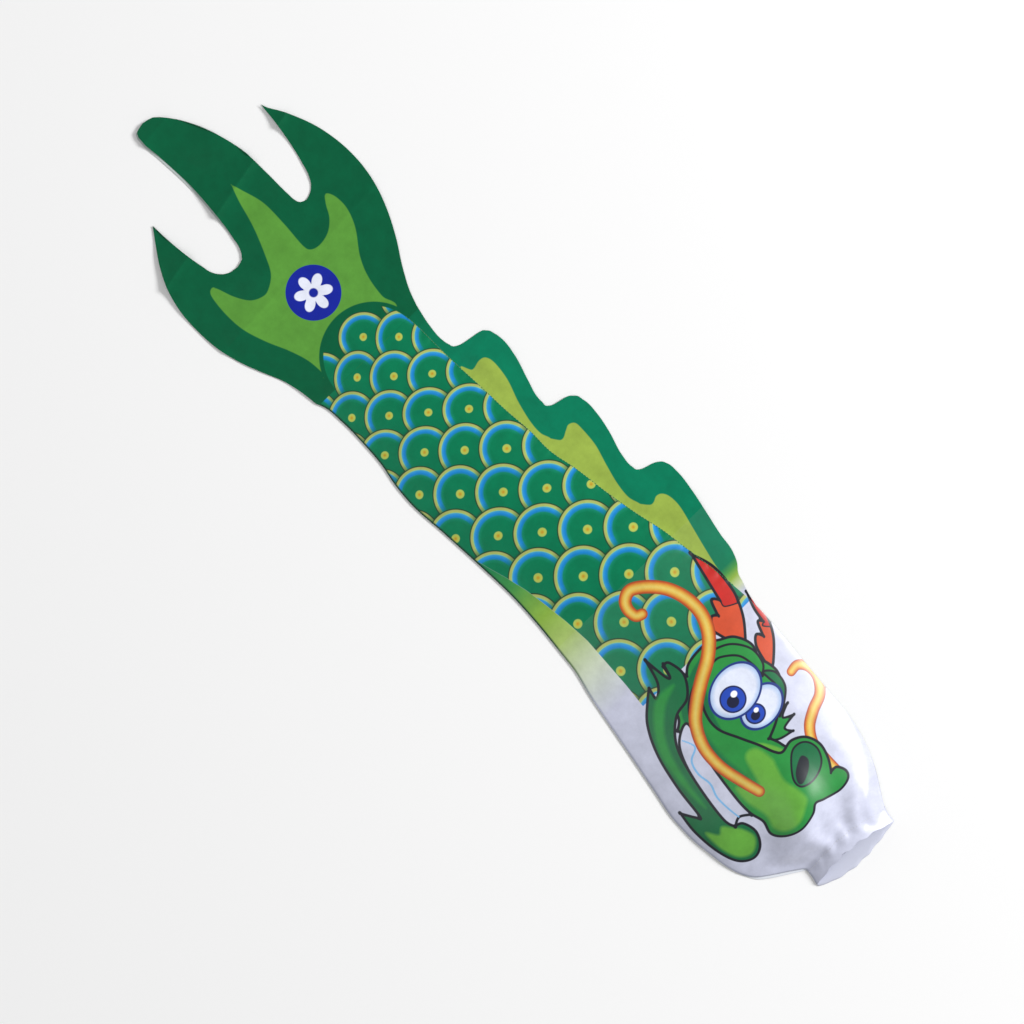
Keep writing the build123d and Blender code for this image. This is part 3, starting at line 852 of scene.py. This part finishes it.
def satinReverse(part):
    # the reverse of the same satin: matt, with the print struck through as a pale ghost
    material, tree, shader = startMaterial("satin reverse, " + part, roughness=0.7, sheen=0.1)
    ghost = put(tree, "Mix", {0: 0.62, 6: printColour(tree, part), 7: linear("#e4e8ea")}, 2,
                data_type="RGBA")
    tree.links.new(ghost, shader.inputs["Base Color"])
    return material


# Each cloth piece: first and last distance behind the lip, first and last row, the two bodies it joins,
# where it starts and ends to bend, and the CAD nodes it stands for
lower, upper, lastRow = cut["lowerRows"], cut["tubeRows"], cut["tubeRows"] + cut["finRows"]
prongFrom, curlStart, curlEnd = 930, prongBase - 1, prongBase + 46
spans = [
    ("head", 0, 426, 0, lastRow, "head", "front", neck - 42, neck + 42, ["panel_head"]),
    ("waist", 426, 574.5, 0, lastRow, "front", "middle", waist - 40, waist + 40, ["panel_front"]),
    ("back", 574.5, 732, 0, lastRow, "middle", "rear", rear - 40, rear + 40, ["panel_middle"]),
    ("tail_root", 732, prongFrom, 0, lastRow, "rear", "{}_tail", tailStart, tailStart + 60,
     ["panel_rear", "tail_fan"]),
    ("lower_prong", prongFrom, 1107, 0, lower, "{}_tail", "{}_lower", curlStart, curlEnd, ["lower_prong"]),
    ("middle_prong", prongFrom, 1200, lower, upper, "{}_tail", "{}_middle", curlStart, curlEnd,
     ["middle_prong"]),
    ("upper_prong", prongFrom, 1120, upper, lastRow, "{}_tail", "{}_upper", curlStart, curlEnd,
     ["upper_prong"]),
]
nodeNames = {"head": "head", "waist": "front", "back": "middle", "tail_root": "rear"}
layers = {"near": (near, gridNormals(near, 1)), "far": (far, gridNormals(far, -1))}
satins = {}


def columns(first, last):
    # the grid's columns between two distances behind the lip
    return int(round(first / cut["step"])), int(round(last / cut["step"])) + 1


def follow(piece):
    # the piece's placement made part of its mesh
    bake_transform(piece)


def thicken(piece, thickness, shading=None):
    # a second face behind the first, and a rim; the faces keep the whole sheet's shading where given
    thick = piece.modifiers.new("ply", "SOLIDIFY")
    thick.thickness = thickness * mm
    thick.offset = -1
    if len(piece.data.materials) > 1:
        thick.material_offset = 1
        thick.material_offset_rim = 1
    applied(piece)
    if shading is not None:
        both = np.concatenate([shading, -shading])
        piece.data.normals_split_custom_set_from_vertices(both.tolist())


for layer, (surface, outward) in layers.items():
    for name, first, last, low, high, bodyA, bodyB, bendStart, bendEnd, stands in spans:
        i0, i1 = columns(first, last)
        b = back[i0:i1]
        p = surface[i0:i1, low: high + 1].copy()
        s = side[i0:i1, low: high + 1].copy()
        # two prongs share a grid row with the next one, so past the notch they get their own edge there
        for prong, ends in (("lower_prong", lowTop), ("middle_prong", midTop)):
            if name == prong:
                s[:, -1] = np.where(b > cut["notch"], ends[i0 - len(back):][: i1 - i0], s[:, -1])
                p[:, -1, 1] = s[:, -1] - middleSide
        flat = np.stack([b[:, None] + 0 * s, s], -1)
        gap = np.abs(np.diff(s, axis=1))
        keep = (gap[:-1] > 1e-4) | (gap[1:] > 1e-4)
        piece, flatUsed, used = clothMesh(f"cloth_{layer}_{name}", p, flat, keep, layer == "far")
        setInk(piece.data, flatUsed, name)
        if name not in satins:
            satins[name] = (printedSatin(name), satinReverse(name))
        for material in satins[name]:
            piece.data.materials.append(material)
        thicken(piece, cut["ply"], outward[i0:i1, low: high + 1].reshape(-1, 3)[used])
        follow(piece)
        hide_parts(*[f"{layer}_{node}" for node in stands])
        # the flat cut: wider than the outline where the cloth arches or is gathered
        across = s[:, -1] - s[:, 0]
        wide = 1 + through(b, puff["extra"]) * (b < tailStart)
        wide = np.maximum(wide, puff["gatherWidth"] / np.maximum(across, 1) * (b < 70))
        print(piece.name, len(piece.data.vertices))


def plainCloth(label, colour, roughness, weave):
    # undyed or single-colour cloth with a plain weave: two crossed sine ribs as bump
    material, tree, shader = startMaterial(label, colour=linear(colour), roughness=roughness, specular=0.2)
    flat = put(tree, "UVMap", uv_map="flat")
    phase = put(tree, "VectorMath", {0: flat, 3: 2 * np.pi / weave}, operation="SCALE")
    ribs = put(tree, "VectorMath", {0: phase}, operation="SINE")
    height = put(tree, "VectorMath", {0: ribs, 1: (1, 1, 0)}, "Value", operation="DOT_PRODUCT")
    bump = put(tree, "Bump", {"Height": height, "Strength": 0.3, "Distance": 0.05 * mm})
    tree.links.new(bump, shader.inputs["Normal"])
    return material


trim = {
    "hemDepth": 1.5,       # from the outer ply to the folded-in one
    "elasticFrom": 4.0,    # the band's edges behind the lip
    "elasticTo": 18.0,
    "elasticThick": 0.64,
    "seamAllowance": 7.0,
    "seamThick": 0.55,
    "seamFrom": 24,        # where the turned-in seams start, behind the hem
    "hemStitch": 18,       # the hem's stitching behind the lip
    "finStitchFrom": 334,
    "stitchPitch": 3.8,
    "stitchLength": 3.0,
    "threadWidth": 0.75,
    "threadRise": 0.22,
    "threadLift": 0.12,    # the stitches' middle over the cloth
}
hemCloth = plainCloth("white satin, folded under as a hem", "#c8cbdc", 0.5, 0.8)
elasticCloth = plainCloth("woven white elastic", "#cfcfca", 0.75, 1.4)
turnedCloth = plainCloth("turned-in seam, print struck through", "#6f9f86", 0.7, 0.8)


def strip(name, layer, span, rows, offset, thickness, material):
    # a narrow sheet at an even distance inside one of the layers
    part = slice(*span), slice(*rows)
    surface, outward = layers[layer]
    p, s = surface[part] - outward[part] * offset, side[part]
    flat = np.stack([back[part[0], None] + 0 * s, s], -1)
    keep = np.ones((s.shape[0] - 1, s.shape[1] - 1), bool)
    piece, _, _ = clothMesh(name, p, flat, keep, layer == "far")
    piece.data.materials.append(material)
    thicken(piece, thickness)
    print(piece.name, len(piece.data.vertices))
    return piece


hemEnd = int(cut["hem"] / cut["step"]) + 1
bandSpan = int(trim["elasticFrom"] / cut["step"]), int(trim["elasticTo"] / cut["step"]) + 1
inset = (trim["hemDepth"] * smooth(back[:hemEnd], -1, 4) + 0.02)[:, None, None]
for layer in layers:
    hem = strip(f"cloth_{layer}_hem", layer, (0, hemEnd), (0, upper + 1), inset, cut["ply"], hemCloth)
    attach(hem, "head")
    band = strip(f"cloth_{layer}_elastic", layer, bandSpan, (1, upper), 0.42, trim["elasticThick"],
                 elasticCloth)
    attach(band, "head")
    if layer == "near":
        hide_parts("mouth_casing")
        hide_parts("mouth_elastic")


def turnedSeam(name, span, rows):
    return strip(name, "near", span, rows, cut["ply"] + 0.05, trim["seamThick"], turnedCloth)


for name, first, last, low, high, bodyA, bodyB, bendStart, bendEnd, stands in spans[:4]:
    i0, i1 = columns(max(first, trim["seamFrom"]), min(last, tailStart))
    rowWidth = (side[i0:i1, upper] - side[i0:i1, 0]).mean() / upper
    k = int(np.ceil(trim["seamAllowance"] / rowWidth))
    seam = turnedSeam(f"cloth_belly_seam_{name}", (i0, i1), (0, k + 1))
    follow(seam)
    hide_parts("belly_seam_" + nodeNames[name])
i0, i1 = columns(trim["seamFrom"], cut["finStart"] - cut["step"])
rowWidth = 1.35    # beside the back seam
k = int(np.ceil(trim["seamAllowance"] / rowWidth))
seam = turnedSeam("cloth_back_seam_head", (i0, i1), (upper - k, upper + 1))
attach(seam, "head")
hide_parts("back_seam_head")


def threadMaterial(label, colour):
    # twisted polyester thread of one colour: a slanting stripe of painted shade along each stitch, for the
    # grooves between the plies, made from its own coordinates
    material, tree, shader = startMaterial(label, roughness=0.5)
    flat = put(tree, "UVMap", uv_map="flat")
    slant = put(tree, "VectorMath", {0: flat, 1: (9.0, 6.3, 0)}, "Value", operation="DOT_PRODUCT")
    wave = put(tree, "Math", {0: slant}, operation="SINE")
    # painted shade: darker stripes where the plies turn into their grooves
    plyGrooveShade = put(tree, "MapRange", {"Value": wave, "From Min": -1.0, "From Max": 1.0})
    threadInShade = (*(c * 0.62 for c in linear(colour)[:3]), 1.0)
    tone = put(tree, "Mix", {0: plyGrooveShade, 6: threadInShade, 7: linear(colour)}, 2, data_type="RGBA")
    tree.links.new(tone, shader.inputs["Base Color"])
    return material


def beadTemplate(around=8, along=5):
    # an ellipsoid as rings between two poles, with its faces, and the turn of each vertex round its length
    turn = np.linspace(0, 2 * np.pi, around, endpoint=False)
    lift = np.linspace(0, np.pi, along + 2)[1:-1, None]
    rings = np.stack([-np.cos(lift) + 0 * turn, np.sin(lift) * np.cos(turn),
                      np.sin(lift) * np.sin(turn)], -1)
    bead = np.concatenate([[(-1, 0, 0)], rings.reshape(-1, 3), [(1, 0, 0)]])
    ring = np.arange(along * around).reshape(along, around) + 1
    after = np.roll(ring, -1, 1)
    quads = np.stack([ring[:-1], ring[1:], after[1:], after[:-1]], -1).reshape(-1, 4)
    fans = np.concatenate([np.stack([0 * ring[0], ring[0], after[0]], -1),
                           np.stack([0 * ring[0] + len(bead) - 1, after[-1], ring[-1]], -1)])
    half = np.array([trim["stitchLength"] / 2, trim["threadWidth"] / 2, trim["threadRise"]])
    return bead * half, quads, fans, np.concatenate([[0], np.tile(turn, along), [0]])


def stitches(name, span, rows, material):
    # a bead for each stitch, half sunk in the cloth, along the same line of the grid on both layers
    bead, quads, fans, turn = beadTemplate()
    verts, faces, uvs, count = [], [], [], 0
    for surface, outward in layers.values():
        up = outward[span, rows]
        path = surface[span, rows] + up * trim["threadLift"]
        run = np.concatenate([[0], np.cumsum(np.linalg.norm(np.diff(path, axis=0), axis=1))])
        stops = np.arange(trim["stitchPitch"] / 2, run[-1], trim["stitchPitch"])

        def along(values, at):
            return np.stack([np.interp(at, run, values[:, k]) for k in range(3)], -1)

        at = along(path, stops)
        ahead = along(path, stops + 0.7) - at
        ahead /= np.maximum(np.linalg.norm(ahead, axis=1, keepdims=True), 1e-9)
        n = along(up, stops)
        n -= (n * ahead).sum(1, keepdims=True) * ahead
        n /= np.linalg.norm(n, axis=1, keepdims=True)
        axes = np.stack([ahead, np.cross(n, ahead), n], 1)
        verts.append((at[:, None] + np.einsum("bk,nkc->nbc", bead, axes)).reshape(-1, 3))
        base = count + np.arange(len(stops))[:, None, None] * len(bead)
        faces += (base + quads[None]).reshape(-1, 4).tolist()
        faces += (base + fans[None]).reshape(-1, 3).tolist()
        uvs.append(np.tile(np.stack([bead[:, 0], turn], -1), (len(stops), 1)))
        count += len(verts[-1])
    mesh = bpy.data.meshes.new(name)
    mesh.from_pydata((np.concatenate(verts) * mm).tolist(), [], faces)
    mesh.polygons.foreach_set("use_smooth", np.ones(len(mesh.polygons), bool))
    writeUv(mesh, "flat", np.concatenate(uvs))
    mesh.materials.append(material)
    piece = addObject(name, mesh)
    print(name, len(mesh.vertices))
    return piece


greenThread = threadMaterial("green sewing thread", "#3f8f4a")
whiteThread = threadMaterial("white sewing thread", "#dfe1ea")
for name, first, last, low, high, bodyA, bodyB, bendStart, bendEnd, stands in spans[:4]:
    i0, i1 = columns(max(first, trim["finStitchFrom"]), min(last, tailStart))
    row = stitches(f"thread_fin_{name}", slice(i0, i1), upper, greenThread)
    follow(row)
    if name != "head":
        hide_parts("fin_stitch_" + nodeNames[name])
hemColumn = int(trim["hemStitch"] / cut["step"])
row = stitches("thread_hem", hemColumn, slice(0, upper + 1), whiteThread)
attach(row, "head")
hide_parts("casing_stitch")


view = {
    "turn": 45.6,          # degrees, so that the mouth is at the lower right
    "lens": 85,
    "over": (576.3, -10, 2817),     # back, side and height of the camera
    "paper": 0.9,
    "daylight": 0.44,
    "lamps": (("key", (2.3, 5.3, 3.7), 1.9, 455), ("fill", (-1.2, -3.4, 5.4), 4.0, 55)),
}


def studio():
    # a camera straight above, white paper, an even white sky and two square lamps turned to the middle
    scene = bpy.context.scene
    lens = bpy.data.cameras.new("camera")
    lens.lens = view["lens"]
    camera = addObject("camera", lens)
    camera.location = place(*view["over"])
    camera.rotation_euler = (0, 0, np.radians(view["turn"]))
    scene.camera = camera
    mesh = bpy.data.meshes.new("ground")
    mesh.from_pydata([(-6, -6, 0), (6, -6, 0), (6, 6, 0), (-6, 6, 0)], [], [(0, 1, 2, 3)])
    addObject("ground", mesh)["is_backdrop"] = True
    paper, _, _ = startMaterial("matt white paper", colour=(*[view["paper"]] * 3, 1), roughness=0.9)
    mesh.materials.append(paper)
    scene.world = bpy.data.worlds.new("studio")
    scene.world.use_nodes = True
    sky = scene.world.node_tree.nodes["Background"]
    sky.inputs["Color"].default_value = (1, 1, 1, 1)
    sky.inputs["Strength"].default_value = view["daylight"]
    for name, at, size, power in view["lamps"]:
        lamp = bpy.data.lights.new(name, "AREA")
        lamp.size, lamp.energy = size, power
        light = addObject(name, lamp)
        light.location = at
        x, y, z = at
        light.rotation_euler = (np.arctan2(np.hypot(x, y), z), 0, np.arctan2(-y, -x) - np.pi / 2)
    scene.view_settings.view_transform = "Standard"
    print("studio set up")


studio()
low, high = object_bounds()
